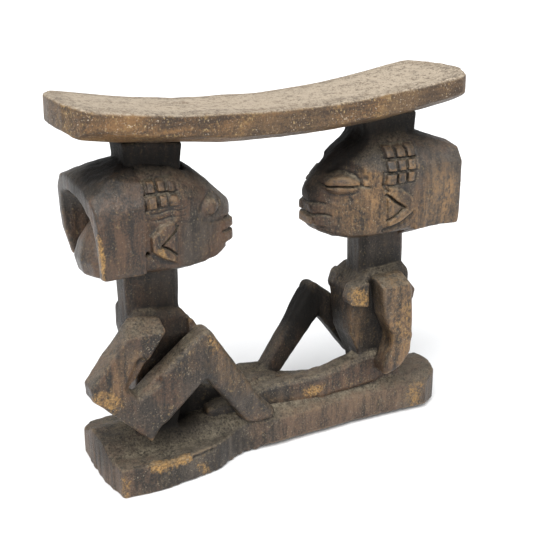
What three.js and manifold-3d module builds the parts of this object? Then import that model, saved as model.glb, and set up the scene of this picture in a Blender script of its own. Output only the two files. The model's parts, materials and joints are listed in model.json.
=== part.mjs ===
// Carved wooden headrest: two seated figures face each other on one base and carry a curved
// pillow on their heads. Each figure has its right knee raised and its left leg stretched flat,
// so the pair has half-turn symmetry about the vertical axis, apart from the carver's variation.
// The real headrest is cut from one block. Its carved members are separate meshes here, parted
// at the creases by a hairline gap.
// Millimetres, +Z up, +X along the pillow, origin at the middle of the base's underside.
import * as THREE from "three";
import { ConvexGeometry } from "three/addons/geometries/ConvexGeometry.js";
import { mergeVertices } from "three/addons/utils/BufferGeometryUtils.js";
import Module from "manifold-3d";

const wasm = await Module();
wasm.setup();

// ---------------------------------------------------------------- driving dimensions
const GAP = 0.3; // parting gap between neighbouring members
const FIGURE_X = 58; // neck axis of each figure, from the middle of the headrest
const FAR = 400; // longer than anything in the part, for cutting prisms

const PILLOW = {
  halfLength: 96,
  halfWidth: 26,
  waist: 3, // how much narrower each side is at the middle
  endRise: 9.6, // how far the ends stand above the middle of the hollow
  middleTop: 161.9,
  sideDepth: 7.5, // upright side face below the top edge
  thickness: 13.2,
  soleHalfWidth: 15, // flat underside between the two long bevels
  endBulge: 5.5,
};
const BASE = { edgeTop: 13.4, slopeFoot: 16, slopeTop: 10.5, ridgeTop: 19.4 };
const HAIR = { bottom: 99.3, roofBottom: 119 };
const BLOCK = { halfWidth: 10, top: 152, bottom: 138 };
const NECK = { x: -0.6, halfLength: 12.2, halfWidth: 8.6, chamfer: 3 };
const BRAID = { columns: 3, rise: 5.8, proud: 1.2, grooveWidth: 0.9 };

// Joint centres of each figure in its own frame: +X is forward, -Y its right side.
// r is the radius seen from the side and t the thickness across.
const FIGURES = {
  figure_a: {
    turn: 0,
    blockBack: -11,
    blockFront: 14.8,
    braid: { rows: 2, pitch: 4.9, back: -7.6, low: 126.8, lean: 0.04 },
    earX: -2.2,
    eye: { x: 24, z: 122.4, halfLength: 5.6, halfHeight: 4.2 },
    leftWing: { back: -30.8, taper: 3.4 },
    curlShift: 2.5,
    breastReach: { left: 17.6, right: 17.6 },
    rightHip: { x: -9.5, y: -18.6, z: 37, r: 9.4, t: 11.6 },
    rightKneeTop: { x: 16.4, y: -20, z: 67.2, r: 3.6, t: 11 },
    rightKneeBack: { x: 16, y: -19.8, z: 52.4, r: 3, t: 11 },
    rightAnkle: { x: 41.6, y: -13.8, z: 23.4, r: 6.6, t: 9.6 },
    rightToe: { x: 50.5, y: -13, z: 19, r: 3.2, t: 8 },
  },
  figure_b: {
    turn: Math.PI,
    blockBack: -15,
    blockFront: 12,
    braid: { rows: 3, pitch: 5, back: -6.2, low: 122.8, lean: -0.08 },
    earX: 0,
    eye: { x: 26.3, z: 123.2, halfLength: 8, halfHeight: 4.4 },
    leftWing: { back: -33, taper: 0.4 },
    curlShift: 0,
    breastReach: { left: 22.2, right: 18 },
    rightHip: { x: -3, y: -17.5, z: 31, r: 9.5, t: 12 },
    rightKneeTop: { x: 25, y: -19.5, z: 63, r: 3.6, t: 11 },
    rightKneeBack: { x: 21.6, y: -19.5, z: 54.6, r: 3.6, t: 11 },
    rightAnkle: { x: 52.8, y: -14, z: 23.6, r: 5.4, t: 9 },
    rightToe: { x: 65.6, y: -14, z: 24.4, r: 4.2, t: 9 },
  },
};
const SHARED_JOINTS = {
  leftHip: { x: 6, y: 6.6, z: 27.4, r: 7.8, t: 12 },
  leftKneeTop: { x: 32, y: 6.6, z: 25.4, r: 4.6, t: 11.4 },
  leftKneeBack: { x: 32, y: 6.6, z: 22, r: 4.6, t: 11.4 },
  leftAnkle: { x: 62, y: 4.6, z: 23.4, r: 5.4, t: 8.6 },
  leftToe: { x: 90, y: 4, z: 20.8, r: 3, t: 8 },
};
// Flat-sided arms as outlines (x, z) in the figure's frame: the right one has its elbow far back,
// the left one hangs straight. The shoulder slopes down to the outer face.
const ARMS = {
  inner: 13.4,
  outer: 24.2,
  chamfer: 1.4,
  shoulderTop: 78.6,
  shoulderDrop: 0.5,
  right: {
    upper: [
      [-2, 77],
      [-15, 79],
      [-20.8, 70],
      [-35.6, 53],
      [-34.6, 48],
      [-22, 48.6],
      [-15.6, 54],
      [-1.6, 73],
    ],
    fore: [
      [-21, 50.4],
      [-35.4, 52],
      [-34.6, 47.6],
      [-29.4, 42.6],
      [-10, 22.4],
      [-3.8, 31.4],
    ],
  },
  left: {
    upper: [
      [9.6, 76],
      [-5, 77],
      [-7.4, 70],
      [-8, 46],
      [1.2, 45.4],
      [7.4, 58],
    ],
    fore: [
      [1.2, 46.4],
      [-8, 47],
      [-8, 38.4],
      [-2.4, 31],
      [6, 28.2],
      [6.6, 32.6],
    ],
  },
};
const HEEL_RADIUS = 4.2;
const LIMB_CHAMFER = 1.6;
const DISC_SIDES = 12;

// ---------------------------------------------------------------- materials
const wood = (color, roughness) =>
  new THREE.MeshStandardMaterial({ color, roughness, metalness: 0 });
const PILLOW_WOOD = wood(0x9c8161, 0.62);
const FIGURE_WOOD = wood(0x4a3d33, 0.5);
const HAIR_WOOD = wood(0x51443a, 0.48);
const BASE_WOOD = wood(0x5a4c40, 0.7);

// ---------------------------------------------------------------- solids
function solidOf(geometry) {
  const bare = geometry.clone();
  for (const name of ["normal", "uv"]) bare.deleteAttribute(name);
  const merged = mergeVertices(bare, 1e-3);
  return new wasm.Manifold(
    new wasm.Mesh({
      numProp: 3,
      vertProperties: merged.attributes.position.array,
      triVerts: new Uint32Array(merged.index.array),
    }),
  );
}

function geometryOf(solid) {
  const mesh = solid.getMesh();
  return new THREE.BufferGeometry()
    .setAttribute("position", new THREE.BufferAttribute(mesh.vertProperties, 3))
    .setIndex(new THREE.BufferAttribute(mesh.triVerts, 1));
}

const points2 = (pairs) => pairs.map(([a, b]) => new THREE.Vector2(a, b));
const shapeOf = (pairs) => new THREE.Shape(points2(pairs));
const flip = (pairs) => pairs.map(([a, b]) => [a, -b]).reverse();
const mirror = (pairs) => pairs.map(([a, b]) => [-a, b]).reverse();

// Prisms of an outline: across Y from an (x, z) outline, up Z from (x, y), along X from (y, z).
function extruded(shape, depth) {
  return new THREE.ExtrudeGeometry(shape, { depth, bevelEnabled: false, curveSegments: 8 });
}
function prismAcross(shape, low = -FAR / 2, high = FAR / 2) {
  return solidOf(extruded(shape, high - low).rotateX(Math.PI / 2).translate(0, high, 0));
}
function prismUp(shape, low = -FAR / 2, high = FAR / 2) {
  return solidOf(extruded(shape, high - low).translate(0, 0, low));
}
function prismAlong(shape, low = -FAR / 2, high = FAR / 2) {
  const axes = new THREE.Matrix4().makeBasis(
    new THREE.Vector3(0, 1, 0),
    new THREE.Vector3(0, 0, 1),
    new THREE.Vector3(1, 0, 0),
  );
  return solidOf(extruded(shape, high - low).applyMatrix4(axes).translate(low, 0, 0));
}
const hullOf = (triples) =>
  solidOf(new ConvexGeometry(triples.map(([x, y, z]) => new THREE.Vector3(x, y, z))));

// A solid made larger by the parting gap all round, for cutting its neighbours.
function grown(solid) {
  const { min, max } = solid.boundingBox();
  const middle = [0, 1, 2].map((i) => (min[i] + max[i]) / 2);
  const ratio = [0, 1, 2].map((i) => 1 + (2 * GAP) / (max[i] - min[i]));
  return solid
    .translate(middle.map((v) => -v))
    .scale(ratio)
    .translate(middle);
}

// Takes cutters away from a solid and keeps its main body.
function clearOf(solid, cutters) {
  const rest = cutters.reduce((left, cutter) => left.subtract(cutter), solid);
  const bodies = rest.decompose();
  return bodies.reduce((a, b) => (b.volume() > a.volume() ? b : a));
}

// ---------------------------------------------------------------- pillow and base
function pillow() {
  const { halfLength, halfWidth, endRise, middleTop, sideDepth, thickness } = PILLOW;
  const overrun = halfLength + 6;
  const endTop = middleTop + endRise * (overrun / halfLength) ** 2;
  const spine = new THREE.QuadraticBezierCurve3(
    new THREE.Vector3(-overrun, 0, endTop),
    new THREE.Vector3(0, 0, 2 * middleTop - endTop),
    new THREE.Vector3(overrun, 0, endTop),
  );
  // Section across the pillow: second value is the depth below the top face.
  const side = [
    [PILLOW.soleHalfWidth, thickness],
    [halfWidth - 1, sideDepth + 1],
    [halfWidth, sideDepth - 0.5],
    [halfWidth, 1.2],
    [halfWidth - 1.2, 0],
  ];
  const section = shapeOf([...side, [0, -0.4], ...mirror(side)]);
  const bar = solidOf(
    new THREE.ExtrudeGeometry(section, { steps: 30, extrudePath: spine, bevelEnabled: false }),
  );
  const bulge = halfLength - PILLOW.endBulge;
  const { waist } = PILLOW;
  const quarter = [
    [0, halfWidth - waist],
    [bulge * 0.35, halfWidth - waist * 0.8],
    [bulge * 0.7, halfWidth - waist * 0.25],
    [bulge - 4, halfWidth - 0.2],
    [bulge - 0.5, halfWidth - 2.5],
    [halfLength - 1.2, halfWidth / 2],
    [halfLength, 3],
  ];
  const half = [...flip(quarter).reverse(), ...quarter.slice().reverse()];
  const plan = prismUp(shapeOf([...half.slice(1, -1), ...mirror(half)]));
  // The ends thin out underneath.
  const profile = prismAcross(
    shapeOf([
      [-halfLength - 1, 161.5],
      [-halfLength + 11, 154.5],
      [-halfLength + 26, 140],
      [halfLength - 26, 140],
      [halfLength - 11, 154.5],
      [halfLength + 1, 163.5],
      [halfLength + 1, 200],
      [-halfLength - 1, 200],
    ]),
  );
  return bar.intersect(plan).intersect(profile);
}

function base() {
  const nearEdge = [
    [-85.8, -10],
    [-83.2, -26.4],
    [-66, -28],
    [-47, -25.8],
    [-36, -23.2],
    [-26, -17],
    [-19, -14.8],
    [-8, -16.4],
    [12, -15.4],
    [40, -14.4],
    [68, -14.8],
    [81, -15.6],
    [89, -11],
    [93, -1],
  ];
  const farEdge = [
    [92.5, 10],
    [89, 19.5],
    [80, 25.5],
    [64, 27],
    [46, 25.4],
    [35, 22.6],
    [26, 18.4],
    [17, 16.6],
    [4, 17.4],
    [-16, 17.2],
    [-28, 19.6],
    [-38, 23.6],
    [-54, 27],
    [-72, 28],
    [-81.6, 26.4],
    [-85.8, 21],
    [-86.4, 6],
  ];
  const plan = prismUp(shapeOf([...nearEdge, ...farEdge]), 0, FAR);
  // The top is lowest along the rim and highest along the middle.
  const { edgeTop, slopeFoot, slopeTop, ridgeTop } = BASE;
  const half = [
    [FAR, -1],
    [FAR, edgeTop],
    [slopeFoot, edgeTop + 0.3],
    [slopeTop, ridgeTop - 0.9],
    [slopeTop / 2, ridgeTop],
  ];
  return plan.intersect(prismAlong(shapeOf([...half, ...mirror(half)])));
}

// ---------------------------------------------------------------- head
// Sections across the head from its back to the tip of the nose: x, half-width w, top and low.
const HEAD_SECTIONS = [
  { x: -8, w: 23.5, top: 146, low: 97.4 },
  { x: 5, w: 23, top: 145.6, low: 96.8 },
  { x: 13, w: 20.2, top: 143.4, low: 96.4 },
  { x: 21, w: 16.4, top: 138, low: 96.4 },
  { x: 28, w: 12.6, top: 131.8, low: 97.4 },
  { x: 33.4, w: 9, top: 125.6, low: 99.6 },
  { x: 36.2, w: 6.4, top: 122.4, low: 102.4 },
  { x: 38.4, w: 2.6, top: 120.8, low: 114 },
];

// The rim of one section: arched over the top, upright at the sides, rounded into the jaw.
function headRing({ x, w, top, low }) {
  const half = [
    [0.44 * w, top - 0.1 * w],
    [0.82 * w, top - 0.38 * w],
    [w, top - 0.7 * w],
    [w, low + 0.36 * w],
    [0.93 * w, low + 0.14 * w],
    [0.62 * w, low],
  ];
  return [[x, 0, top], ...half.map(([y, z]) => [x, y, z]), ...half.map(([y, z]) => [x, -y, z])];
}

// The whole head, grown outwards if asked.
function head(grow = 0) {
  const rings = HEAD_SECTIONS.map(({ x, w, top, low }) => ({
    x: x + grow * 0.5,
    w: w + grow,
    top: top + grow,
    low: low - grow,
  }));
  const withBack = grow ? [{ ...rings[0], x: -12 }, ...rings] : rings;
  return hullOf(withBack.flatMap(headRing));
}

// Swept-back hair: a roof and two side wings round a hollow that opens to the back. The left
// wing reaches further back than the right one.
function coiffure({ back: leftBack, taper }) {
  const { bottom } = HAIR;
  const front = headRing({ ...HEAD_SECTIONS[0], low: bottom - 2 }).filter((p) => p[2] > bottom);
  const lowFront = [-1, 1].map((side) => [-8, side * 23.2, bottom]);
  const shell = hullOf([
    ...front,
    ...lowFront,
    [-27.6, -24, bottom],
    [-28.2, -23.8, 112],
    [-28.2, -23.4, 121.6],
    [-28.4, -21, 127.8],
    [-28.6, -16.6, 131.6],
    [-29.2, -9, 134.4],
    [leftBack + 2.6, 2, 136.6],
    [leftBack + 1, 12, 137.4],
    [leftBack + 0.2, 19.6, 135.6],
    [leftBack, 23.6, 129.6],
    [leftBack + taper * 0.25, 23, 112],
    [leftBack + taper, 22, bottom],
    [-20, -14, 139.4],
    [-20, 0, 141.2],
    [-20, 14, 140.4],
  ]);
  const mouth = [
    [-36, -21, 80],
    [-36, -21, 117],
    [-36, -18, 125.6],
    [-36, -10, 130.4],
    [-36, 2, 132.8],
    [-36, 12, 133.4],
    [-36, 18.4, 131.4],
    [-36, 20.4, 124],
    [-36, 19.4, 80],
  ];
  const floor = [
    [-7, -15, 80],
    [-7, -15, 112],
    [-7, -8, 120],
    [-7, 8, 120],
    [-7, 15, 112],
    [-7, 15, 80],
  ];
  const hollowed = shell.subtract(hullOf([...mouth, ...floor]));
  const slab = (low, high) => prismUp(shapeOf([[-60, -40], [0, -40], [0, 40], [-60, 40]]), low, high);
  const sides = hollowed.intersect(slab(0, HAIR.roofBottom - GAP));
  const byY = (part) => part.boundingBox().max[1];
  const [right, left] = sides.decompose().sort((a, b) => byY(a) - byY(b));
  return { roof: hollowed.intersect(slab(HAIR.roofBottom, FAR)), right, left };
}

// Ridged curl of hair that fills the middle of the hollow above the nape.
function napeCurl(shift) {
  const front = -8;
  const levels = [
    { z: 93.6, back: -24, halfWidth: 9 },
    { z: 96.4, back: -29, halfWidth: 13.6 },
    { z: 103, back: -30.4, halfWidth: 15 },
    { z: 110, back: -28, halfWidth: 11.4 },
    { z: 118.4, back: -22.6, halfWidth: 4.6 },
  ];
  const rings = levels.flatMap(({ z, back, halfWidth }) => {
    const half = [
      [back, 0.3 * halfWidth],
      [back + 3, 0.76 * halfWidth],
      [back + 7, halfWidth],
      [front, halfWidth],
    ];
    return [...half, ...flip(half)].map(([x, y]) => [x, y + shift, z]);
  });
  return hullOf(rings);
}

// The pieces of one side of the head are made on the right, y below 0, and mirrored for the left.
const onSide = (solid, side) => (side === "right" ? solid : solid.mirror([0, 1, 0]));

// Back-swept ear: a plate that stands further out at its back edge, with a sunk triangle.
function ear(shift) {
  const rim = [
    [8.4, 122, -24],
    [0.6, 119.9, -25.6],
    [-4.4, 116, -26.6],
    [-4.4, 110, -26.6],
    [0, 106.4, -25.6],
    [6.8, 102.6, -24],
  ];
  const sunk = [
    [7.6, 117.6, -24.4],
    [-0.6, 111.8, -25.8],
    [7, 106.4, -24.4],
  ];
  const plate = hullOf(rim.flatMap(([x, z, y]) => [[x, y, z], [x, -19, z]]));
  const recess = hullOf(sunk.flatMap(([x, z, y]) => [[x, y + 0.7, z], [x, -35, z]]));
  return plate.subtract(recess).translate([shift, 0, 0]);
}

// Panel of braided hair above the ear: rows of blocks parted by grooves.
function braidPanel({ rows, pitch, back, low, lean }) {
  const { columns, rise, proud, grooveWidth } = BRAID;
  const slanted = (x0, x1, z0, z1) =>
    prismAcross(
      shapeOf([
        [back + x0 + lean * z0, low + z0],
        [back + x1 + lean * z0, low + z0],
        [back + x1 + lean * z1, low + z1],
        [back + x0 + lean * z1, low + z1],
      ]),
      -40,
      -11,
    );
  const [width, height] = [columns * pitch, rows * rise];
  let panel = slanted(0, width, 0, height).intersect(head(proud));
  const floor = head(0.4);
  const half = grooveWidth / 2;
  for (let i = 1; i < rows; i += 1) {
    const across = slanted(-1, width + 1, i * rise - half, i * rise + half);
    panel = panel.subtract(across.subtract(floor));
  }
  for (let i = 1; i < columns; i += 1) {
    const upright = slanted(i * pitch - half, i * pitch + half, -1, height + 1);
    panel = panel.subtract(upright.subtract(floor));
  }
  return panel;
}

// Bulging almond eye with a slit along its middle, lying on the tapered cheek.
function eye({ x, z, halfLength, halfHeight }) {
  const ball = new THREE.SphereGeometry(1, 16, 8);
  ball.rotateX(Math.PI / 2).scale(halfLength, 3, halfHeight);
  const slit = hullOf([
    [-13, -6, 0.2],
    [13, -6, 0.2],
    [-13, -6, -0.9],
    [13, -6, -0.9],
    [-13, -1.6, -0.3],
    [13, -1.6, -0.3],
  ]);
  const cheekAngle = 29;
  const cheekY = -13.7 - (25 - x) * Math.tan(THREE.MathUtils.degToRad(cheekAngle));
  return solidOf(ball)
    .subtract(slit)
    .rotate([0, -3, 0])
    .rotate([0, 0, cheekAngle])
    .translate([x, cheekY, z]);
}

// Two slab lips on a common root, wrapped round the front of the face.
function lips() {
  const slab = (reach, low, high) => {
    const half = [
      [30.6, 10.8],
      [34.2, 9.2],
      [reach - 1.4, 6.6],
      [reach, 4.8],
    ];
    return prismUp(shapeOf([...flip(half).reverse(), ...half.reverse()]), low, high);
  };
  return slab(39, 109.2, 113.6).add(slab(38.8, 103.2, 108)).add(slab(37.2, 104, 113));
}

// ---------------------------------------------------------------- body
function headBlock(back, front) {
  const { halfWidth, top, bottom } = BLOCK;
  const ring = (z, spread) =>
    [
      [back - spread, -halfWidth + 1.5],
      [back + 1.5 - spread, -halfWidth],
      [front - 1.5 + spread, -halfWidth],
      [front + spread, -halfWidth + 1.5],
      [front + spread, halfWidth - 1.5],
      [front - 1.5 + spread, halfWidth],
      [back + 1.5 - spread, halfWidth],
      [back - spread, halfWidth - 1.5],
    ].map(([x, y]) => [x, y, z]);
  return hullOf([...ring(top, 1), ...ring(bottom, -0.6)]);
}

function neck() {
  const { x, halfLength, halfWidth, chamfer } = NECK;
  const corner = [
    [halfLength, -halfWidth + chamfer],
    [halfLength, halfWidth - chamfer],
    [halfLength - chamfer, halfWidth],
  ];
  const outline = [...corner, ...mirror(corner), [chamfer - halfLength, -halfWidth]];
  return prismUp(shapeOf([...outline, [halfLength - chamfer, -halfWidth]]), 70, 100).translate([
    x,
    0,
    0,
  ]);
}

function torso() {
  const side = prismAcross(
    shapeOf([
      [-11.5, 10],
      [6, 10],
      [10, 30],
      [17.2, 46],
      [18, 58],
      [17, 67.5],
      [10.8, 77.4],
      [-10.4, 79],
      [-12.4, 76],
      [-12.4, 66],
      [-10.4, 52],
      [-12, 34],
    ]),
  );
  const half = [
    [9, 10],
    [9.4, 34],
    [9, 48],
    [10, 58],
    [13, 66],
    [12.6, 74.5],
    [9.6, 79.6],
  ];
  const front = prismAlong(shapeOf([...half, ...mirror(half)]));
  return side.intersect(front);
}

function breast(reach) {
  return hullOf([
    [12, -16.4, 62],
    [12, -5, 62],
    [12, -5, 74.4],
    [12, -16, 74],
    [reach - 1.4, -15, 63.8],
    [reach - 1.4, -6.6, 63.8],
    [reach, -8, 67],
    [reach, -14, 67],
    [reach - 2.6, -14.6, 72.4],
    [reach - 2.6, -7, 72.4],
  ]);
}

// A limb segment: the hull of two chamfered discs that lie in upright planes along X.
function discRing({ x, y, z, r, t }) {
  const ring = [];
  for (let i = 0; i < DISC_SIDES; i += 1) {
    const angle = ((i + 0.5) / DISC_SIDES) * 2 * Math.PI;
    for (const side of [-1, 1]) {
      const [c, s] = [Math.cos(angle), Math.sin(angle)];
      ring.push([x + r * c, y + side * (t / 2 - LIMB_CHAMFER), z + r * s]);
      const inner = r - LIMB_CHAMFER;
      ring.push([x + inner * c, y + (side * t) / 2, z + inner * s]);
    }
  }
  return ring;
}
const limb = (...discs) => hullOf(discs.flatMap(discRing));

// A flat-sided arm segment on the right, with chamfered rims round its outer face.
function armSegment(outline) {
  const { inner, outer, chamfer, shoulderTop, shoulderDrop } = ARMS;
  const middle = outline
    .reduce(([a, b], [x, z]) => [a + x, b + z], [0, 0])
    .map((total) => total / outline.length);
  const inset = ([x, z]) => {
    const [dx, dz] = [x - middle[0], z - middle[1]];
    const keep = 1 - chamfer / Math.hypot(dx, dz);
    return [middle[0] + dx * keep, -outer, middle[1] + dz * keep];
  };
  const ring = (y) => outline.map(([x, z]) => [x, -y, z]);
  const block = hullOf([...ring(inner), ...ring(outer - chamfer), ...outline.map(inset)]);
  const slope = Math.hypot(1, shoulderDrop);
  const down = [0, shoulderDrop / slope, -1 / slope];
  return block.trimByPlane(down, -(shoulderTop + shoulderDrop * inner) / slope);
}

function foot(ankle, toe) {
  const heel = { ...ankle, z: toe.z + 1.4, r: HEEL_RADIUS };
  const instep = { ...ankle, x: ankle.x + 3, z: ankle.z + 1, r: HEEL_RADIUS - 0.6 };
  return hullOf([...discRing(heel), ...discRing(instep), ...discRing(toe)]);
}

// ---------------------------------------------------------------- assembly
// Members are cut in order: each one gives way to those carved before it.
const pillowSolid = pillow();
const baseSolid = base();

class Figure {
  constructor(spec) {
    this.at = { ...SHARED_JOINTS, ...spec };
    this.turn = spec.turn;
    this.members = new Map();
    this.cutters = new Map([
      ["base", this.inOwnFrame(grown(baseSolid))],
      ["pillow", this.inOwnFrame(grown(pillowSolid))],
    ]);
  }

  inOwnFrame(solid) {
    return solid.rotate([0, 0, THREE.MathUtils.radToDeg(this.turn)]).translate([FIGURE_X, 0, 0]);
  }

  carve(name, raw, material, ...neighbours) {
    const solid = clearOf(raw, neighbours.map((n) => this.cutters.get(n)));
    this.cutters.set(name, grown(raw));
    this.members.set(name, { solid, material });
  }

  // Makes another figure's member known here as a neighbour.
  meet(other, name) {
    const across = other.cutters.get(name).rotate([0, 0, 180]).translate([2 * FIGURE_X, 0, 0]);
    this.cutters.set(`other_${name}`, across);
  }

  carveHead() {
    const { blockBack, blockFront, braid, earX, eye: eyeSize, leftWing, curlShift } = this.at;
    this.carve("head_block", headBlock(blockBack, blockFront), FIGURE_WOOD, "pillow");
    this.carve("head", head(), FIGURE_WOOD, "head_block");
    const hair = coiffure(leftWing);
    this.carve("hair_roof", hair.roof, HAIR_WOOD, "head_block", "head");
    this.carve("nape_curl", napeCurl(curlShift), HAIR_WOOD, "head");
    this.carve("lips", lips(), FIGURE_WOOD, "head");
    for (const side of ["right", "left"]) {
      const wing = `${side}_hair_wing`;
      this.carve(wing, hair[side], HAIR_WOOD, "head", "nape_curl");
      const earName = `${side}_ear`;
      const braids = onSide(braidPanel(braid), side);
      this.carve(earName, onSide(ear(earX), side), FIGURE_WOOD, "head", wing);
      this.carve(`${side}_braid_panel`, braids, HAIR_WOOD, "head", "hair_roof", wing, earName);
      this.carve(`${side}_eye`, onSide(eye(eyeSize), side), FIGURE_WOOD, "head", "lips");
    }
  }

  carveBody() {
    this.carve("neck", neck(), FIGURE_WOOD, "head", "nape_curl");
    this.carve("torso", torso(), FIGURE_WOOD, "neck", "base");
    for (const side of ["right", "left"]) {
      const upper = `${side}_upper_arm`;
      const arm = onSide(armSegment(ARMS[side].upper), side);
      const fore = onSide(armSegment(ARMS[side].fore), side);
      const bust = onSide(breast(this.at.breastReach[side]), side);
      this.carve(upper, arm, FIGURE_WOOD, "torso", "neck");
      this.carve(`${side}_breast`, bust, FIGURE_WOOD, "torso", "neck", upper);
      this.carve(`${side}_forearm`, fore, FIGURE_WOOD, "torso", "base", upper);
    }
  }

  carveLeg(side, ...obstacles) {
    const knee = [this.at[`${side}KneeTop`], this.at[`${side}KneeBack`]];
    const ankle = this.at[`${side}Ankle`];
    const arms = ["right_forearm", "left_forearm", "right_upper_arm", "left_upper_arm"];
    const front = ["torso", "base", "right_breast", "left_breast", ...obstacles];
    const [thigh, shin] = [`${side}_thigh`, `${side}_shin`];
    this.carve(thigh, limb(this.at[`${side}Hip`], ...knee), FIGURE_WOOD, ...front, ...arms);
    this.carve(shin, limb(...knee, ankle), FIGURE_WOOD, thigh, ...front);
    const sole = foot(ankle, this.at[`${side}Toe`]);
    this.carve(`${side}_foot`, sole, FIGURE_WOOD, shin, ...front);
  }
}

const figures = Object.entries(FIGURES).map(([name, spec]) => [name, new Figure(spec)]);
for (const [, figure] of figures) {
  figure.carveHead();
  figure.carveBody();
  figure.carveLeg("right");
}
// The flat legs lie between the raised ones, so they are cut last.
const raisedLeg = ["right_thigh", "right_shin", "right_foot"];
const [[, first], [, second]] = figures;
for (const name of raisedLeg) {
  first.meet(second, name);
  second.meet(first, name);
}
for (const [, figure] of figures) {
  figure.carveLeg("left", ...raisedLeg, ...raisedLeg.map((name) => `other_${name}`));
}

const headrest = new THREE.Group();
const addMesh = (group, name, solid, material) => {
  const mesh = new THREE.Mesh(geometryOf(solid), material);
  mesh.name = name;
  group.add(mesh);
};
addMesh(headrest, "pillow", pillowSolid, PILLOW_WOOD);
addMesh(headrest, "base", baseSolid, BASE_WOOD);
for (const [name, figure] of figures) {
  const group = new THREE.Group();
  group.rotation.z = figure.turn;
  group.position.x = figure.turn === 0 ? -FIGURE_X : FIGURE_X;
  for (const [member, { solid, material }] of figure.members) {
    addMesh(group, `${name}_${member}`, solid, material);
  }
  headrest.add(group);
}

export default headrest;
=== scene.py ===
import json
import math

import bpy
import numpy as np
import openvdb as vdb
from mathutils import Matrix, Vector


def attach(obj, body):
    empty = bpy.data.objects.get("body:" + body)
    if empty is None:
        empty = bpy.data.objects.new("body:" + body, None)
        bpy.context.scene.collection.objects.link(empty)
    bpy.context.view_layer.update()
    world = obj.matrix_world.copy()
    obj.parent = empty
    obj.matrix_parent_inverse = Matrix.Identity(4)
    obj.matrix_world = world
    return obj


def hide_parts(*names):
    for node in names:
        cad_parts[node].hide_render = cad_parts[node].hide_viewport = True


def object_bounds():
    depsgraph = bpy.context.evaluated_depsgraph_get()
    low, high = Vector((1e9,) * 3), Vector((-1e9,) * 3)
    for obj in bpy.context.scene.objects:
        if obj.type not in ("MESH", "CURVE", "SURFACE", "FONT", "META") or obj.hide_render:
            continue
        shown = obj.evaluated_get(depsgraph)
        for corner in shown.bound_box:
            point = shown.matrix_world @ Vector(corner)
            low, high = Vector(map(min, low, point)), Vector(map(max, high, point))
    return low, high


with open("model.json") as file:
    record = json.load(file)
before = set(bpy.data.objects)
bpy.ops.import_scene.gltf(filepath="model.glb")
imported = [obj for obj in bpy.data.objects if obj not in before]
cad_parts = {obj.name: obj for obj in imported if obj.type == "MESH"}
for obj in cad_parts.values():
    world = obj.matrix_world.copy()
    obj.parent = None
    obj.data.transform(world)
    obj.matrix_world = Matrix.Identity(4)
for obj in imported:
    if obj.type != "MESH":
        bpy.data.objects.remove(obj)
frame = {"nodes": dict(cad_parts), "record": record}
cad_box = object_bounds()

# Visual model of the carved headrest. The CAD members are fused into one worn block as a signed
# distance field, carved in detail there, and parted again into one closed piece per member.
# All lengths are millimetres until a mesh is made.
MM = 0.001
VOXEL = 0.56
BAND = 4.2  # distances are kept this far on both sides of each surface
FUSE = 0.42  # how softly neighbouring members run into each other
WEAR_BLUR = 0.55  # rounding of every edge
TONGUE = 1.5  # how far a piece runs on under its neighbour
TUCK = 0.07  # how much lower it runs there
FIGURE_X = 58  # neck axis of each figure from the middle
MIN_ISLAND = 40  # smaller loose bits of a piece are dropped, in faces
WOBBLE = 0.30  # how far a carved line strays from its drawn course


# ---------------------------------------------------------------- camera
def add_camera():
    """A camera at the photograph's viewing angle."""
    place = Vector((-204.3, -406.9, 245.7)) * MM
    azimuth, elevation, roll = (math.radians(v) for v in (-27.13, 19.90, -0.33))
    back = Vector(
        (
            math.sin(azimuth) * math.cos(elevation),
            -math.cos(azimuth) * math.cos(elevation),
            math.sin(elevation),
        )
    )
    level = Vector((0, 0, 1)).cross(back).normalized()
    upright = back.cross(level)
    right = level * math.cos(roll) + upright * math.sin(roll)
    up = upright * math.cos(roll) - level * math.sin(roll)
    data = bpy.data.cameras.new("camera")
    data.sensor_width = 36
    data.lens = 68.43
    camera = bpy.data.objects.new("camera", data)
    camera.matrix_world = Matrix.Translation(place) @ Matrix((right, up, back)).transposed().to_4x4()
    bpy.context.scene.collection.objects.link(camera)
    bpy.context.scene.camera = camera


# ---------------------------------------------------------------- the field
def grid_axes():
    """Lowest index of the grid and its sample places along x, y and z."""
    margin = BAND + 3 * VOXEL
    low = [math.floor((v / MM - margin) / VOXEL) for v in cad_box[0]]
    high = [math.ceil((v / MM + margin) / VOXEL) for v in cad_box[1]]
    return low, [np.arange(a, b + 1, dtype=np.float32) * VOXEL for a, b in zip(low, high)]


LOW, AXES = grid_axes()
SHAPE = tuple(len(axis) for axis in AXES)
X, Y, Z = np.ix_(*AXES)


def window(low, high):
    """Slices of the grid that hold the box from low to high."""
    spans = []
    for axis, a, b in zip(AXES, low, high):
        start = max(int((a - axis[0]) // VOXEL), 0)
        stop = min(int((b - axis[0]) // VOXEL) + 2, len(axis))
        spans.append(slice(start, stop))
    return tuple(spans)


def member_field(node):
    """Where a CAD member lies in the grid, and its signed distances there."""
    mesh = node.data
    mesh.calc_loop_triangles()
    points = np.empty(len(mesh.vertices) * 3, np.float32)
    mesh.vertices.foreach_get("co", points)
    points = points.reshape(-1, 3) / MM
    corners = np.empty(len(mesh.loop_triangles) * 3, np.int32)
    mesh.loop_triangles.foreach_get("vertices", corners)
    grid = vdb.FloatGrid.createLevelSetFromPolygons(
        points,
        triangles=corners.reshape(-1, 3).astype(np.uint32),
        transform=vdb.createLinearTransform(voxelSize=VOXEL),
        halfWidth=BAND / VOXEL,
    )
    spans = window(points.min(0) - BAND, points.max(0) + BAND)
    distances = np.empty([s.stop - s.start for s in spans], np.float32)
    grid.copyToArray(distances, ijk=tuple(a + s.start for a, s in zip(LOW, spans)))
    return spans, distances


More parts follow.
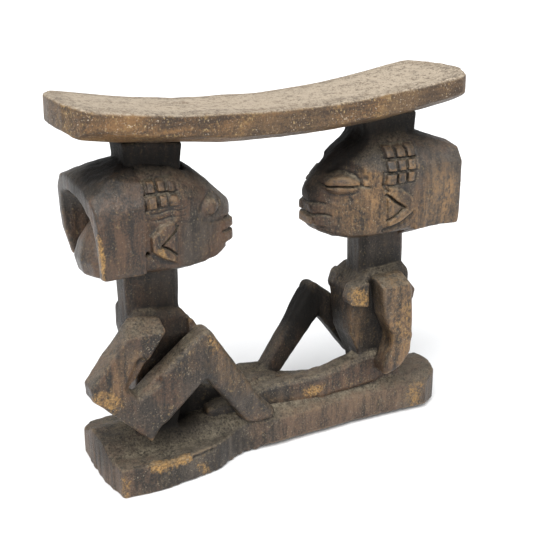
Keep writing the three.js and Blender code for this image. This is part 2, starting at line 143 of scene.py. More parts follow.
def blur(values, radius):
    """Gaussian blur with the given radius in millimetres."""
    reach = max(1, math.ceil(2.4 * radius / VOXEL))
    steps = np.arange(-reach, reach + 1)
    weights = np.exp(-0.5 * (steps * VOXEL / radius) ** 2)
    weights = (weights / weights.sum()).astype(np.float32)
    for axis in range(3):
        padding = [(reach, reach) if i == axis else (0, 0) for i in range(3)]
        wide = np.pad(values, padding, mode="edge")
        size = values.shape[axis]
        total = np.zeros_like(values)
        for start, weight in enumerate(weights):
            part = [slice(None)] * 3
            part[axis] = slice(start, start + size)
            total += weight * wide[tuple(part)]
        values = total
    return values


def noise(scale, seed):
    """Smooth random field of unit size with features about scale millimetres wide along each axis."""
    rng = np.random.default_rng(seed)
    matrices = []
    for axis, spacing in zip(AXES, scale):
        place = (axis - axis[0]) / spacing
        cell = np.floor(place).astype(int)
        t = place - cell
        spline = ((1 - t) ** 3, 3 * t**3 - 6 * t**2 + 4, -3 * t**3 + 3 * t**2 + 3 * t + 1, t**3)
        matrix = np.zeros((len(axis), cell[-1] + 4), np.float32)
        for shift, weight in enumerate(spline):
            matrix[np.arange(len(axis)), cell + shift] = weight / 6
        matrices.append(matrix)
    values = rng.standard_normal([m.shape[1] for m in matrices]).astype(np.float32)
    for matrix in matrices:
        values = np.moveaxis(np.tensordot(matrix, values, axes=(1, 0)), 0, 2)
    return values / values.std()


def fuse(members):
    """One field for all members, the nearest member everywhere, and the two smallest distances."""
    total = np.full(SHAPE, math.exp(-BAND / FUSE), np.float32)
    nearest = np.full(SHAPE, BAND, np.float32)
    second = np.full(SHAPE, BAND, np.float32)
    owner = np.full(SHAPE, -1, np.int16)
    for number, (spans, distances) in enumerate(members):
        total[spans] += np.exp(-distances / FUSE)
        first, next_best = nearest[spans], second[spans]
        closer = distances < first
        next_best[...] = np.where(closer, first, np.minimum(next_best, distances))
        owner[spans][closer] = number
        first[closer] = distances[closer]
    return np.clip(-FUSE * np.log(total), -BAND, BAND), owner, nearest, second


# ---------------------------------------------------------------- members reshaped and joined
# Capsules (start, end, radius) added to a member, or cut from it where the radius is negative.
TRIMS = {
    "figure_b_right_foot": [((1, 14, 27), (-7.6, 14, 27.6), 3.9)],
    "figure_a_right_upper_arm": [((-77.4, -26, 47), (-71.2, -26, 60), -4.6)],
    "figure_a_right_thigh": [((-78, -26, 47), (-67, -26, 52.4), -5.2)],
}
# Members that run into each other, and the width of the round hollow between them.
FILLETS = (
    ("figure_a_head", "figure_a_head_block", 2.6),
    ("figure_b_head", "figure_b_head_block", 4.1),
    ("figure_a_head_block", "pillow", 1.6),
    ("figure_b_head_block", "pillow", 2.6),
    ("figure_a_hair_roof", "figure_a_head", 1.6),
    ("figure_a_hair_roof", "figure_a_head_block", 1.6),
    ("figure_a_right_ear", "figure_a_right_hair_wing", 1.6),
    ("figure_a_left_ear", "figure_a_left_hair_wing", 1.6),
    ("figure_a_right_hair_wing", "figure_a_head", 1.6),
    ("figure_a_left_hair_wing", "figure_a_head", 1.6),
    ("figure_b_right_ear", "figure_b_right_hair_wing", 1.2),
    ("figure_b_left_ear", "figure_b_left_hair_wing", 1.2),
    ("figure_b_hair_roof", "figure_b_head", 2.4),
    ("figure_a_neck", "figure_a_torso", 1),
    ("figure_b_neck", "figure_b_torso", 1.4),
    ("figure_a_torso", "base", 3),
    ("figure_b_torso", "base", 3),
    ("figure_a_torso", "figure_a_right_thigh", 2.4),
    ("figure_b_torso", "figure_b_left_thigh", 3),
    ("figure_a_right_shin", "base", 2.4),
    ("figure_a_right_foot", "base", 2.4),
    ("figure_b_left_forearm", "figure_b_left_thigh", 2.2),
    ("figure_b_left_upper_arm", "figure_b_left_forearm", 3),
    ("figure_a_right_upper_arm", "figure_a_right_forearm", 2),
    ("figure_b_torso", "figure_b_left_breast", 2),
    ("figure_a_right_thigh", "figure_a_right_shin", 2.4),
    ("figure_b_left_thigh", "figure_b_left_shin", 3),
)


def capsule(spans, start, end, radius):
    """Signed distances to a capsule."""
    x, y, z = X[spans[0]], Y[:, spans[1]], Z[:, :, spans[2]]
    run = [b - a for a, b in zip(start, end)]
    along = (x - start[0]) * run[0] + (y - start[1]) * run[1] + (z - start[2]) * run[2]
    t = np.clip(along / sum(v * v for v in run), 0, 1)
    gaps = [value - a - t * v for value, a, v in zip((x, y, z), start, run)]
    return np.sqrt(sum(gap * gap for gap in gaps)) - radius


def trim(name, spans, distances):
    """One member with its capsules added or cut away."""
    for start, end, radius in TRIMS.get(name, ()):
        shape = capsule(spans, start, end, abs(radius)).clip(-BAND, BAND)
        if radius > 0:
            distances = np.minimum(distances, shape)
        else:
            distances = np.maximum(distances, -shape)
    return spans, distances.astype(np.float32)


def fillet(first, other, size):
    """Round the hollow between two members."""
    pair = [members[names.index(name)] for name in (first, other)]
    shared = [slice(max(a.start, b.start), min(a.stop, b.stop)) for a, b in zip(pair[0][0], pair[1][0])]
    parts = []
    for spans, distances in pair:
        local = [slice(s.start - own.start, s.stop - own.start) for s, own in zip(shared, spans)]
        parts.append(distances[tuple(local)])
    share = np.clip(0.5 + 0.5 * (parts[1] - parts[0]) / size, 0, 1)
    joined = parts[1] + (parts[0] - parts[1]) * share - size * share * (1 - share)
    part = field[tuple(shared)]
    np.minimum(part, joined, out=part)


# ---------------------------------------------------------------- carving tools
class Bench:
    """The field seen in one figure's own frame: +X forward, -Y its right side."""

    def __init__(self, name, turned):
        self.name = name
        self.turned = turned

    def patch(self, x, y, z):
        """The field inside a box of the figure's frame, with the place of its samples there."""
        if self.turned:
            low = (FIGURE_X - x[1], -y[1], z[0])
            high = (FIGURE_X - x[0], -y[0], z[1])
        else:
            low = (x[0] - FIGURE_X, y[0], z[0])
            high = (x[1] - FIGURE_X, y[1], z[1])
        spans = window(low, high)
        px, py, pz = X[spans[0]], Y[:, spans[1]], Z[:, :, spans[2]]
        px = px + WOBBLE * wobble[0][spans]
        pz = pz + WOBBLE * wobble[1][spans]
        if self.turned:
            return field[spans], FIGURE_X - px, -py, pz
        return field[spans], px + FIGURE_X, py, pz


def stroke(p, q, points):
    """Distance in a plane from (p, q) to a polyline."""
    best = None
    for (a, b), (c, d) in zip(points, points[1:]):
        run, rise = c - a, d - b
        t = np.clip(((p - a) * run + (q - b) * rise) / (run * run + rise * rise), 0, 1)
        away = np.hypot(p - a - t * run, q - b - t * rise)
        best = away if best is None else np.minimum(best, away)
    return best


def groove(distance, width, depth):
    """How far a groove of that half width sinks the surface."""
    return depth * np.clip(1 - (distance / width) ** 2, 0, None) ** 1.5


# ---------------------------------------------------------------- carved detail
BRAID_COLUMNS = 3
BRAID_RISE = 5.8
FACES = {
    "figure_a": {
        "braid": {"rows": 2, "pitch": 4.9, "back": -7.6, "low": 126.8, "lean": 0.04, "front_depth": 0.5},
        "ear_x": -2.2,
        "eye": {"x": 24, "z": 122.4, "long": 4.9, "high": 4.2},
    },
    "figure_b": {
        "braid": {"rows": 3, "pitch": 5, "back": -6.2, "low": 122.8, "lean": -0.08, "front_depth": 1},
        "ear_x": 0,
        "eye": {"x": 26.3, "z": 123.2, "long": 7, "high": 4.4},
    },
}


# The plane that figure b's far eye is cut down to, in the figure's own frame.
EYE_PLANE = {"normal": (0.655, 0.505, 0.562), "distance": 94.4}


def carve_braids(bench, face, side):
    """Cuts between the braided squares; side is -1 on the figure's right and 1 on its left."""
    rows, pitch, back, low, lean = (face["braid"][k] for k in ("rows", "pitch", "back", "low", "lean"))
    values, x, y, z = bench.patch((-13, 16), (-27, 27), (118, 146))
    outer = np.where(y * side > 7, 1.0, 0.0)
    height = rows * BRAID_RISE
    width = BRAID_COLUMNS * pitch
    cut = 0
    for i in range(rows + 1):
        start = back + lean * i * BRAID_RISE
        ends = [(start - 0.4, low + i * BRAID_RISE), (start + width + 0.3, low + i * BRAID_RISE)]
        rim = i in (0, rows)
        cut = np.maximum(cut, groove(stroke(x, z, ends), 0.8, 0.5 if rim else 0.9))
    for i in range(BRAID_COLUMNS + 1):
        foot = back + i * pitch
        rim = i in (0, BRAID_COLUMNS)
        depth = face["braid"]["front_depth"] if i > 1 else 1
        ends = [(foot, low - 0.3), (foot + lean * height, low + height + 0.3)]
        cut = np.maximum(cut, groove(stroke(x, z, ends), 0.8, depth * (0.5 if rim else 0.9)))
    values += outer * cut
    if bench.turned:
        # The cut along the front of the braids runs on down to the ear.
        front = back + width
        values += outer * groove(stroke(x, z, [(front, low), (front - 0.6, low - 2.6)]), 0.9, 0.9)
    else:
        # Shallow wavy cuts under the braids.
        for drop, depth in ((1.6, 0.55), (4.6, 0.4)):
            wave = low - drop + 0.5 * np.sin(x * 0.5)
            fade = np.clip((x + 9) / 3, 0, 1) * np.clip((13 - x) / 3, 0, 1)
            values += outer * fade * groove(z - wave, 0.8, depth)


def carve_eye(bench, face, side):
    """Lids and creases round one eye. Only figure b has a slit and a deep socket."""
    eye = face["eye"]
    values, x, y, z = bench.patch((0, 40), (-24, 24), (108, 137))
    outer = np.clip((y * side - 3) / 3, 0, 1)
    cx, cz, long, high = (eye[k] for k in ("x", "z", "long", "high"))
    turn = np.linspace(0, math.pi, 11)
    reach = long + 0.7
    upper = [(cx + reach * math.cos(t), cz + (high + 0.8) * math.sin(t)) for t in turn]
    lower = [(cx + reach * math.cos(t), cz - (high + 0.5) * math.sin(t)) for t in turn]
    values += outer * groove(stroke(x, z, lower), 1.1, 0.55 if bench.turned else 0.3)
    if bench.turned and side < 0:
        # The far eye lies flat, so that it stays behind the profile.
        forward, outward, upward = EYE_PLANE["normal"]
        flat = forward * x + outward * y * side + upward * z - EYE_PLANE["distance"]
        values[...] = np.where(outer > 0, np.maximum(values, flat), values)
    if bench.turned:
        slit = [(cx + long - 0.8, cz - 0.4), (cx - 2, cz - 0.4), (cx - long - 4.2, cz - 1.4)]
        socket = [(cx + 2.6, cz + high + 2.4), (cx - 3, cz + high + 2.6), (cx - 8.4, cz + 3.4)]
        under = [(cx + long - 1, cz - high - 1), (cx + 2, cz - high - 2.8), (cx - 4, cz - high - 3)]
        cuts = ((upper, 1.5, 1.0), (slit, 0.7, 1.25), (socket, 3.6, 1.5), (under, 2.2, 0.5))
    else:
        trail = [(cx - 6, cz - 3), (cx - 12, cz - 4.4), (cx - 18, cz - 2.6), (cx - 24, cz - 4.4)]
        crease = [(cx - 4, cz - 5), (cx + 4, cz - 8), (cx + 9, cz - 8.4)]
        cuts = ((upper, 1.3, 0.45), (trail, 1.1, 0.36), (crease, 1.6, 0.5))
    for course, width, depth in cuts:
        values += outer * groove(stroke(x, z, course), width, depth)


def carve_ear(bench, face, side):
    """The sunk triangle of one ear and the cut behind it."""
    shift = face["ear_x"]
    values, x, y, z = bench.patch((-14, 16), (-30, 30), (97, 126))
    outer = np.where(y * side > 17, 1.0, 0.0)
    vee = [(8 + shift, 118), (-0.8 + shift, 111.8), (7.4 + shift, 105.8)]
    values += outer * groove(stroke(x, z, vee), 0.75, 1.0)
    # Shadow line where the ear stands off the hair.
    back = [(8 + shift, 100.8), (1.2 + shift, 103.2), (-5.4 + shift, 108.4)]
    values += outer * groove(stroke(x, z, back), 1.7, 1.2 if bench.turned else 0.75)


# Level cuts across the mouth: height, where they start, half width and depth.
MOUTH_CUTS = (
    {"z": 108.6, "start": 31, "width": 0.8, "depth": 1.0},  # between the lips
    {"z": 114.3, "start": 33, "width": 1.0, "depth": 0.8},  # above them
    {"z": 102.6, "start": 33, "width": 1.0, "depth": 0.6},  # below them
)


def carve_lips(bench):
    """The mouth and the edges of the lips."""
    values, x, y, z = bench.patch((24, 42), (-16, 16), (99, 119))
    for cut in MOUTH_CUTS:
        away = np.hypot(z - cut["z"], np.clip(cut["start"] - x, 0, None))
        values += groove(away, cut["width"], cut["depth"])


def carve_figure(bench):
    face = FACES[bench.name]
    for side in (-1, 1):
        carve_braids(bench, face, side)
        carve_eye(bench, face, side)
        carve_ear(bench, face, side)
    carve_lips(bench)


STRIATION = 0.05  # depth of the upright tool marks
WAIST_STRIATION = 0.13  # how much deeper they are on the near side of the waist
WAIST_X = -21
UNDERCUT_TOP = 2.6
UNDERCUT_SLOPE = 1.5
FLAKE = {"x": -45, "half": 5, "z": 11.6, "width": 1.2, "depth": 1.0}  # broken edge
DENT_PLACE = {"x": -60, "z": 14.2, "stretch": 1.8, "width": 4.6, "depth": 1.1}  # worn patch beside it
SEAT = {"x": -70, "y": -12, "depth": 1.6}  # shallow recess beside the first figure


def carve_base():
    """Tool striations, the undercut and the worn places of the base."""
    spans = window((-100, -32, -6), (100, 32, 24))
    values = field[spans]
    x, y, z = X[spans[0]], Y[:, spans[1]], Z[:, :, spans[2]]
    waist = np.exp(-(((x - WAIST_X) / 10) ** 2)) * np.where(y < -10, 1, 0)
    values += (STRIATION + WAIST_STRIATION * waist) * strike[spans] * np.clip((14 - z) / 3, 0, 1)
    # The near edge of the second lobe is cut away underneath.
    along = np.clip((x + 14) / 6, 0, 1)
    across = np.clip(1 - (y + 15) / 7, 0, 1)
    values += UNDERCUT_SLOPE * np.clip(UNDERCUT_TOP - z, 0, None) * along * across
    near = np.where(y < -18, 1, 0)
    flake = np.hypot(np.clip(np.abs(x - FLAKE["x"]) - FLAKE["half"], 0, None), z - FLAKE["z"])
    values += near * groove(flake, FLAKE["width"], FLAKE["depth"])
    dent = np.hypot((x - DENT_PLACE["x"]) / DENT_PLACE["stretch"], z - DENT_PLACE["z"])
    values += near * groove(dent, DENT_PLACE["width"], DENT_PLACE["depth"])
    bowl = np.exp(-(((x - SEAT["x"]) / 8) ** 2) - ((y - SEAT["y"]) / 5) ** 2)
    values += SEAT["depth"] * bowl * np.clip(z / 10, 0, 1)


SWELL = 0.24  # broad unevenness of the surface
DENT = 0.09  # small dents
STROKE = 0.05  # knife strokes
PILLOW_Z = 146  # the pillow starts about here


def weather():
    """Uneven hand work all over: soft facets, knife strokes and dents."""
    rounded = blur(field, WEAR_BLUR)
    rounded += SWELL * noise((18, 18, 18), 1)
    rounded += DENT * noise((6, 6, 7), 2)
    pillow_part = np.clip((Z - PILLOW_Z) / 6, 0, 1)
    rounded += STROKE * strike * (1 - pillow_part)
    rounded += STROKE * noise((16, 1.5, 2.2), 3) * pillow_part
    return rounded


# ---------------------------------------------------------------- meshes
def sample(values, points):
    """Trilinear values at points."""
    place = (points - [axis[0] for axis in AXES]) / VOXEL
    cell = np.clip(np.floor(place).astype(int), 0, np.array(SHAPE) - 2)
    t = (place - cell).astype(np.float32)
    i, j, k = cell.T
    result = np.zeros(len(points), np.float32)
    for dx, dy, dz in np.ndindex(2, 2, 2):
        weight = np.ones(len(points), np.float32)
        for axis, step in enumerate((dx, dy, dz)):
            weight *= t[:, axis] if step else 1 - t[:, axis]
        result += weight * values[i + dx, j + dy, k + dz]
    return result


def without_islands(points, quads):
    """The mesh without loose bits too small to matter."""
    label = np.arange(len(points))
    while True:
        lowest = label[quads].min(1)
        new = label.copy()
        for column in quads.T:
            np.minimum.at(new, column, lowest)
        new = new[new]
        if (new == label).all():
            break
        label = new
    group = label[quads[:, 0]]
    faces = np.bincount(group, minlength=len(points))
    quads = quads[faces[group] >= MIN_ISLAND]
    used, packed = np.unique(quads, return_inverse=True)
    return points[used], packed.reshape(-1, 4)


def piece_mesh(number, spans, distances):
    """Points and faces of one member of the carved block."""
    others = np.where(owner[spans] == number, second[spans], nearest[spans])
    lead = distances - others
    tuck = TUCK * (1 + np.tanh(lead / 0.5))
    solid = np.maximum(field[spans] + tuck, lead / 2 - TONGUE / 2)
    solid = np.maximum(solid, distances - BAND * 0.8)
    grid = vdb.FloatGrid(BAND)
    grid.transform = vdb.createLinearTransform(voxelSize=VOXEL)
    grid.copyFromArray(solid.astype(np.float32), ijk=tuple(a + s.start for a, s in zip(LOW, spans)))
    points, quads = grid.convertToQuads(isovalue=0)
    points, quads = without_islands(points, quads.astype(np.int64))
    a, b, c = (points[quads[:, i]] for i in range(3))
    d = points[quads[:, 3]]
    volume = (np.einsum("ij,ij->i", a, np.cross(b, c)) + np.einsum("ij,ij->i", a, np.cross(c, d))).sum()
    return points, quads[:, ::-1] if volume < 0 else quads


def build_mesh(name, points, quads):
    mesh = bpy.data.meshes.new(name)
    mesh.vertices.add(len(points))
    mesh.vertices.foreach_set("co", (points * MM).astype(np.float32).ravel())
    mesh.loops.add(quads.size)
    mesh.loops.foreach_set("vertex_index", quads.ravel().astype(np.int32))
    mesh.polygons.add(len(quads))
    mesh.polygons.foreach_set("loop_start", np.arange(0, quads.size, 4, dtype=np.int32))
    mesh.polygons.foreach_set("use_smooth", np.ones(len(quads), bool))
    mesh.update(calc_edges=True)
    mesh.validate()
    return mesh


def paint(points, streaks):
    """Strength at each point of soft streaks, given as two ends, radius and strength."""
    total = np.zeros(len(points), np.float32)
    for start, end, radius, strength in streaks:
        run = np.array(end, float) - start
        t = np.clip((points - start) @ run / max(run @ run, 1e-6), 0, 1)
        away = np.linalg.norm(points - start - t[:, None] * run, axis=1) / radius
        total += strength * np.clip(1.6 - 0.9 * away, 0, 1)
    return np.clip(total, 0, 1)


OCHRE = (
    ((-87, -23.6, 98), (-87, -23.6, 118), 2.2, 0.85),  # back rim of the first figure's right hair wing
    ((-61.5, -26, 110), (-59, -24.5, 104), 1.6, 0.75),  # tips of its ear
    ((-90, -24.5, 49), (-84, -25, 46), 3.6, 0.72),  # its elbow
    ((-39, -24, 66), (-36, -24, 52), 3.2, 0.4),  # its knee and shin
    ((40.5, -15, 69), (42, -15, 65), 4, 0.75),  # second figure's breast
    ((61, -23, 60), (62, -22.5, 40), 4, 0.5),  # its arm
    ((15, -10.5, 22), (23, -11, 24), 2.6, 0.8),  # its flat leg
    ((-69, -28, 13), (-54, -27, 12.6), 3.0, 1.0),  # near edge of the base
    ((-47, -26, 6), (-45, -26, 3), 2.4, 0.6),
    ((-83, -27, 10), (-83, -27, 1), 2.4, 0.55),
    ((76, -15.6, 12), (76, -15.6, 5), 4.4, 0.6),
    ((84, -13, 14), (90, -8, 14), 3.4, 0.4),
)
TAN = (
    ((78, -23, 120), (72, -23, 106), 8, 0.65),  # second figure's hair wing
    ((86, -22, 116), (86, -22, 102), 5, 0.6),
    ((43, -19, 125), (47, -21, 119), 4.4, 1.0),  # its temple
    ((34, -15, 112), (44, -19, 106), 7, 0.65),  # its cheek
    ((50, -25, 118), (58, -26, 106), 5, 0.6),  # its ear
    ((60, -24, 74), (63, -24, 36), 8, 0.8),  # its arm
    ((44, -9, 56), (44, -9, 46), 4, 0.45),  # its belly
    ((-78, -25, 62), (-84, -25, 50), 5, 0.4),  # first figure's arm
    ((-36, -24, 56), (-22, -22, 40), 5, 0.4),
    ((-20, -12, 22), (70, -15, 8), 4, 0.25),
)
# Soot, and painted shadow and shade: soot with painted shadow under the pillow, a painted contact shadow
# along the undercut, and painted shade deep between the parts.
SOOT_AND_SHADE = (
    ((-8, -19, 0.4), (36, -21, 0.4), 1.7, 0.9),  # painted contact shadow along the undercut of the base
    ((36, -21, 0.4), (90, -17, 0.4), 1.7, 0.9),
    ((-70, 0, 142), (-44, 0, 142), 14, 1.0),  # soot and painted shadow under the pillow
    ((44, 0, 142), (72, 0, 142), 14, 1.0),
    ((22, 0, 124), (36, 0, 140), 9, 0.8),  # second figure's forehead
    ((24, 16, 56), (6, 14, 28), 12, 0.55),  # painted shade on the far raised leg
    ((30, 18, 54), (56, 16, 30), 12, 0.6),
    # painted shade low on the far side, by the first figure's legs
    ((-40, 12, 24), (-24, 6, 24), 10, 0.5),
    ((-58, 0, 74), (-58, 0, 95), 14, 0.45),  # painted shade on the necks, under the heads
    ((58, 0, 74), (58, 0, 95), 14, 0.45),
    ((-54, 0, 72), (-54, 0, 28), 13, 0.6),  # painted shade on the torsos, deep between the limbs
    ((58, -2, 68), (56, -2, 34), 13, 0.5),
    ((-80, -6, 22), (-52, -6, 18), 12, 0.5),  # painted shade at the seat
    ((-60, -2, 134), (-88, -4, 132), 8, 0.35),  # soot and painted shadow on the crown behind the block, under the pillow
)


def add_piece(name, number, spans, distances, material, slot):
    points, quads = piece_mesh(number, spans, distances)
    mesh = build_mesh(name + "_carved", points, quads)
    layers = {
        "wear_and_groove_shade": sample(edge, points),
        "shelter": sample(closeness, points),
        "ochre": paint(points, OCHRE),
        "tan": paint(points, TAN),
        "soot_and_shade": paint(points, SOOT_AND_SHADE),
    }
    for layer, values in layers.items():
        attribute = mesh.attributes.new(layer, "FLOAT", "POINT")
        attribute.data.foreach_set("value", values.astype(np.float32))
    mesh.materials.append(material)
    piece = bpy.data.objects.new(name + "_carved", mesh)
    bpy.context.scene.collection.objects.link(piece)
    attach(piece, "root")
    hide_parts(name)


# ---------------------------------------------------------------- materials
class Nodes:
    """Short names for the shader nodes of one material."""

    def __init__(self, name):
        self.material = bpy.data.materials.new(name)
        self.material.use_nodes = True
        self.tree = self.material.node_tree
        self.shader = self.tree.nodes["Principled BSDF"]
        place = self.add("ShaderNodeTexCoord").outputs["Object"]
        self.place = place

    def add(self, kind, **settings):
        node = self.tree.nodes.new(kind)
        for key, value in settings.items():
            setattr(node, key, value)
        return node

    def feed(self, socket, value):
        if isinstance(value, bpy.types.NodeSocket):
            self.tree.links.new(value, socket)
        else:
            socket.default_value = value

    def layer(self, name):
        return self.add("ShaderNodeAttribute", attribute_name=name).outputs["Fac"]

    def stretched(self, scale):
        node = self.add("ShaderNodeMapping")
        self.feed(node.inputs["Vector"], self.place)
        node.inputs["Scale"].default_value = scale
        return node.outputs["Vector"]

    def noise(self, scale, size=1.0, detail=4.0, rough=0.6):
        node = self.add("ShaderNodeTexNoise")
        self.feed(node.inputs["Vector"], self.stretched(scale))
        node.inputs["Scale"].default_value = size
        node.inputs["Detail"].default_value = detail
        node.inputs["Roughness"].default_value = rough
        return node.outputs["Fac"]

    def math(self, operation, a, b=0.0, clamp=False):
        node = self.add("ShaderNodeMath", operation=operation, use_clamp=clamp)
        self.feed(node.inputs[0], a)
        self.feed(node.inputs[1], b)
        return node.outputs[0]

    def ramp(self, value, low, high):
        """0 below low, 1 above high, smooth between."""
        node = self.add("ShaderNodeMapRange", interpolation_type="SMOOTHSTEP")
        self.feed(node.inputs["Value"], value)
        node.inputs["From Min"].default_value = low
        node.inputs["From Max"].default_value = high
        return node.outputs["Result"]

    def blend(self, *parts):
        """Sum of values, each with its weight."""
        total = None
        for value, weight in parts:
            term = self.math("MULTIPLY", value, weight)
            total = term if total is None else self.math("ADD", total, term)
        return total

    def ragged(self, value, *parts):
        """A value with noises around one half added to it, each with its weight."""
        for noise_value, weight in parts:
            centred = self.math("SUBTRACT", noise_value, 0.5)
            value = self.math("ADD", value, self.math("MULTIPLY", centred, weight))
        return value

    def mix(self, factor, a, b):
        node = self.add("ShaderNodeMix", data_type="RGBA")
        self.feed(node.inputs["Factor"], factor)
        for socket, value in ((node.inputs["A"], a), (node.inputs["B"], b)):
            self.feed(socket, (*value, 1) if isinstance(value, tuple) else value)
        return node.outputs["Result"]


RAW_WOOD = {"shade": (0.085, 0.046, 0.017), "light": (0.34, 0.195, 0.062)}
FLECK_COLOUR = (0.34, 0.235, 0.105)
# Soot with painted shadow and shade; dirt and painted shade in the grooves; painted occlusion shade in
# deep places.
SOOT_AND_SHADE_COLOUR = (0.008, 0.0075, 0.007)
GROOVE_COLOUR = (0.006, 0.005, 0.004)
OCCLUSION_SHADE_COLOUR = (0.009, 0.008, 0.007)


def carved_wood(name, colours, dusting, grain, matt, fleck, scatter, relief, veil):
    """Old handled wood: dark patina, worn edges, dirt and painted shade in the hollows, painted shadow
    under the pillow, dust on top.

    dusting says how thick the dust is and veil how much of it lies everywhere; fleck and scatter are
    the shares of golden flecks and stray tan patches; relief is the strength of grain and grit.
    """
    dark, mid, warm, tan, dust = (colours[key] for key in ("dark", "mid", "warm", "tan", "dust"))
    n = Nodes(name)
    blotch = n.noise((40, 40, 28), 1, 6, 0.66)
    patch = n.noise((95, 95, 80), 1, 6, 0.66)
    streak = n.noise(grain, 1, 5, 0.7)
    fine = n.noise((620, 620, 520), 1, 5, 0.75)
    medium = n.noise((330, 330, 260), 1, 6, 0.72)
    speck = n.noise((1100, 1100, 1000), 1, 4, 0.7)
    tone = n.blend((blotch, 0.35), (streak, 0.35), (speck, 0.30))
    body = n.mix(n.ramp(n.noise((26, 26, 20), 1, 5, 0.6), 0.44, 0.58), mid, warm)
    colour = n.mix(n.ramp(tone, 0.42, 0.59), dark, body)
    # Mottled tan where hands wore the patina through.
    thin = n.math("ADD", n.layer("tan"), n.math("MULTIPLY", n.ramp(patch, 0.54, 0.70), scatter))
    mottle = n.ramp(n.blend((fine, 0.55), (streak, 0.45)), 0.38, 0.66)
    colour = n.mix(n.math("MULTIPLY", mottle, thin, clamp=True), colour, tan)
    # Bare wood on the edges.
    rub = n.ragged(n.layer("wear_and_groove_shade"), (fine, 2.4), (patch, 2.0))
    colour = n.mix(n.math("MULTIPLY", n.ramp(rub, 0.75, 1.8), 0.5), colour, tan)
    bared = n.ragged(n.layer("ochre"), (fine, 2.2), (patch, 1.6))
    raw = n.mix(n.ramp(speck, 0.36, 0.62), RAW_WOOD["shade"], RAW_WOOD["light"])
    colour = n.mix(n.ramp(bared, 0.35, 1.05), colour, raw)
    # Golden flecks and pale fibres.
    flecks = n.math("MULTIPLY", n.ramp(n.noise((900, 900, 700), 1, 3, 0.6), 0.56, 0.72), fleck)
    flecks = n.math("MULTIPLY", flecks, n.ramp(patch, 0.36, 0.58))
    colour = n.mix(flecks, colour, FLECK_COLOUR)
    # Soot, with painted shadow under the pillow and along the undercut, and painted shade between the
    # parts.
    colour = n.mix(n.math("MULTIPLY", n.layer("soot_and_shade"), 0.93), colour, SOOT_AND_SHADE_COLOUR)
    # Dirt and painted shade in the grooves and creases, where the convexity is low.
    hollow = n.ramp(n.layer("wear_and_groove_shade"), -0.12, -0.75)
    colour = n.mix(n.math("MULTIPLY", hollow, 0.8), colour, GROOVE_COLOUR)
    # Painted shade in deep, enclosed places, where little light gets in.
    deep = n.ramp(n.layer("shelter"), 0.56, 0.80)
    colour = n.mix(n.math("MULTIPLY", deep, 0.6), colour, OCCLUSION_SHADE_COLOUR)
    # Pale dust on upward faces, thickest in sheltered places.
    geometry = n.add("ShaderNodeNewGeometry")
    split = n.add("ShaderNodeSeparateXYZ")
    n.feed(split.inputs[0], geometry.outputs["Normal"])
    up = n.ramp(split.outputs["Z"], 0.15, 0.95)
    shelter = n.ramp(n.layer("shelter"), 0.44, 0.64)
    cover = n.math("MULTIPLY", up, n.math("ADD", n.math("MULTIPLY", shelter, 0.9), 0.35))
    grains = n.blend((speck, 0.55), (medium, 0.45))
    cover = n.math("MULTIPLY", cover, n.math("ADD", n.ramp(grains, 0.38, 0.60), veil))
    cover = n.math("MULTIPLY", cover, n.math("SUBTRACT", 1.0, n.layer("soot_and_shade"), clamp=True))
    cover = n.math("MULTIPLY", cover, dusting, clamp=True)
    colour = n.mix(cover, colour, dust)
    grit = n.math("MULTIPLY", n.ramp(n.noise((1500, 1500, 1500), 1, 2, 0.5), 0.60, 0.70), relief)
    grit = n.math("MULTIPLY", grit, n.math("ADD", n.ramp(medium, 0.44, 0.60), 0.1), clamp=True)
    grit = n.math("MULTIPLY", grit, n.math("SUBTRACT", 1.0, n.layer("soot_and_shade"), clamp=True))
    colour = n.mix(grit, colour, dust)
    n.feed(n.shader.inputs["Base Color"], colour)
    rough = n.math("ADD", n.math("MULTIPLY", fine, 0.34), matt)
    rough = n.math("ADD", rough, n.math("MULTIPLY", n.layer("soot_and_shade"), 0.2))
    rough = n.math("ADD", rough, n.math("MULTIPLY", cover, 0.5), clamp=True)
    n.feed(n.shader.inputs["Roughness"], rough)
    shine = n.math("SUBTRACT", 0.4, n.math("MULTIPLY", n.layer("soot_and_shade"), 0.32))
    n.feed(n.shader.inputs["Specular IOR Level"], shine)
    height = n.blend((streak, 0.8), (fine, 0.9), (speck, 0.35), (n.math("MULTIPLY", speck, cover), 1.6))
    bump = n.add("ShaderNodeBump")
    bump.inputs["Strength"].default_value = relief
    bump.inputs["Distance"].default_value = 0.0006
    n.feed(bump.inputs["Height"], height)
    n.feed(n.shader.inputs["Normal"], bump.outputs["Normal"])
    return n.material


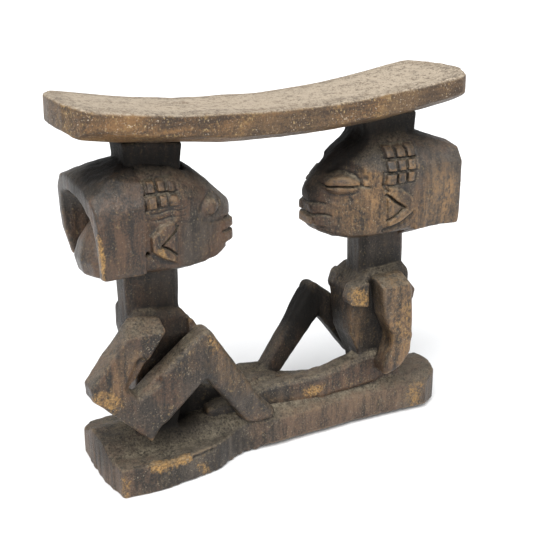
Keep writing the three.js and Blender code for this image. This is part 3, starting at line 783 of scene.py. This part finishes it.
def wood_materials():
    upright = (300, 300, 40)
    lengthwise = (40, 300, 300)
    looks = {
        "pillow_wood": {
            "colours": {
                "dark": (0.036, 0.021, 0.011),
                "mid": (0.120, 0.070, 0.032),
                "warm": (0.170, 0.088, 0.032),
                "tan": (0.320, 0.190, 0.066),
                "dust": (0.455, 0.375, 0.282),
            },
            "dusting": 3.0,
            "grain": lengthwise,
            "matt": 0.36,
            "fleck": 0.9,
            "scatter": 0.45,
            "relief": 0.75,
            "veil": 0.17,
        },
        "figure_wood": {
            "colours": {
                "dark": (0.010, 0.0075, 0.0055),
                "mid": (0.052, 0.038, 0.028),
                "warm": (0.085, 0.045, 0.025),
                "tan": (0.235, 0.135, 0.058),
                "dust": (0.24, 0.20, 0.14),
            },
            "dusting": 1.3,
            "grain": upright,
            "matt": 0.24,
            "fleck": 0.4,
            "scatter": 0.25,
            "relief": 0.75,
            "veil": 0.08,
        },
        "hair_wood": {
            "colours": {
                "dark": (0.012, 0.009, 0.007),
                "mid": (0.047, 0.037, 0.029),
                "warm": (0.080, 0.044, 0.025),
                "tan": (0.235, 0.132, 0.054),
                "dust": (0.17, 0.145, 0.11),
            },
            "dusting": 0.6,
            "grain": upright,
            "matt": 0.18,
            "fleck": 0.3,
            "scatter": 0.15,
            "relief": 0.5,
            "veil": 0.08,
        },
        "base_wood": {
            "colours": {
                "dark": (0.015, 0.011, 0.008),
                "mid": (0.072, 0.057, 0.043),
                "warm": (0.105, 0.064, 0.040),
                "tan": (0.20, 0.135, 0.075),
                "dust": (0.22, 0.185, 0.13),
            },
            "dusting": 1.1,
            "grain": upright,
            "matt": 0.34,
            "fleck": 0.25,
            "scatter": 0.2,
            "relief": 0.95,
            "veil": 0.08,
        },
    }
    return {name: carved_wood(name, **look) for name, look in looks.items()}


# ---------------------------------------------------------------- stage and light
FLOOR_Z = -0.0001  # a hair below the base, so the two faces never coincide


def add_floor():
    mesh = bpy.data.meshes.new("floor")
    half = 8
    corners = [(x, y, FLOOR_Z) for x, y in ((-half, -half), (half, -half), (half, half), (-half, half))]
    mesh.from_pydata(corners, [], [(0, 1, 2, 3)])
    floor = bpy.data.objects.new("floor", mesh)
    n = Nodes("floor_white")
    n.feed(n.shader.inputs["Base Color"], n.mix(n.noise((3, 3, 3)), (0.86, 0.86, 0.86), (0.9, 0.9, 0.9)))
    n.shader.inputs["Roughness"].default_value = 0.7
    mesh.materials.append(n.material)
    bpy.context.scene.collection.objects.link(floor)


def add_light(name, azimuth, elevation, strength, softness):
    """A wide soft light from a direction, angles in degrees, azimuth from +X towards +Y."""
    data = bpy.data.lights.new(name, "SUN")
    data.energy = strength
    data.angle = math.radians(softness)
    light = bpy.data.objects.new(name, data)
    turn, rise = math.radians(azimuth), math.radians(elevation)
    source = Vector((math.cos(turn) * math.cos(rise), math.sin(turn) * math.cos(rise), math.sin(rise)))
    light.location = source
    light.rotation_mode = "QUATERNION"
    light.rotation_quaternion = (-source).to_track_quat("-Z", "Y")
    bpy.context.scene.collection.objects.link(light)


def add_lights():
    world = bpy.data.worlds.new("studio")
    world.use_nodes = True
    background = world.node_tree.nodes["Background"]
    background.inputs["Color"].default_value = (0.97, 0.985, 1.0, 1)
    background.inputs["Strength"].default_value = 0.75
    bpy.context.scene.world = world
    add_light("key", -135, 50, 3.2, 40)
    add_light("fill", -60, 34, 0.9, 50)


# ---------------------------------------------------------------- build
add_camera()
names = sorted(frame["nodes"])
members = [trim(name, *member_field(frame["nodes"][name])) for name in names]
field, owner, nearest, second = fuse(members)
for pair in FILLETS:
    fillet(*pair)
strike = noise((1.3, 1.3, 12), 4)
wobble = [noise((5, 5, 5), seed) for seed in (5, 6)]
field = weather()
for figure_name, is_turned in (("figure_a", False), ("figure_b", True)):
    carve_figure(Bench(figure_name, is_turned))
carve_base()
field = np.maximum(field, -Z)
# Signed convexity: paler worn edges where it is high, dirt and painted shade in the grooves where it is
# low.
edge = (blur(field, 1.1) - field) / 0.35
# How enclosed each place is: it thickens the dust and paints the occlusion shade.
closeness = blur(np.clip(0.5 - field / 2, 0, 1), 4.5)
materials = wood_materials()
slots = {row["node"]: row["material_slot"] for row in frame["record"]["subparts"]}
for piece_number, piece_name in enumerate(names):
    piece_slot = slots[piece_name]
    add_piece(piece_name, piece_number, *members[piece_number], materials[piece_slot], piece_slot)
add_floor()
add_lights()
bpy.context.scene.view_settings.view_transform = "Standard"
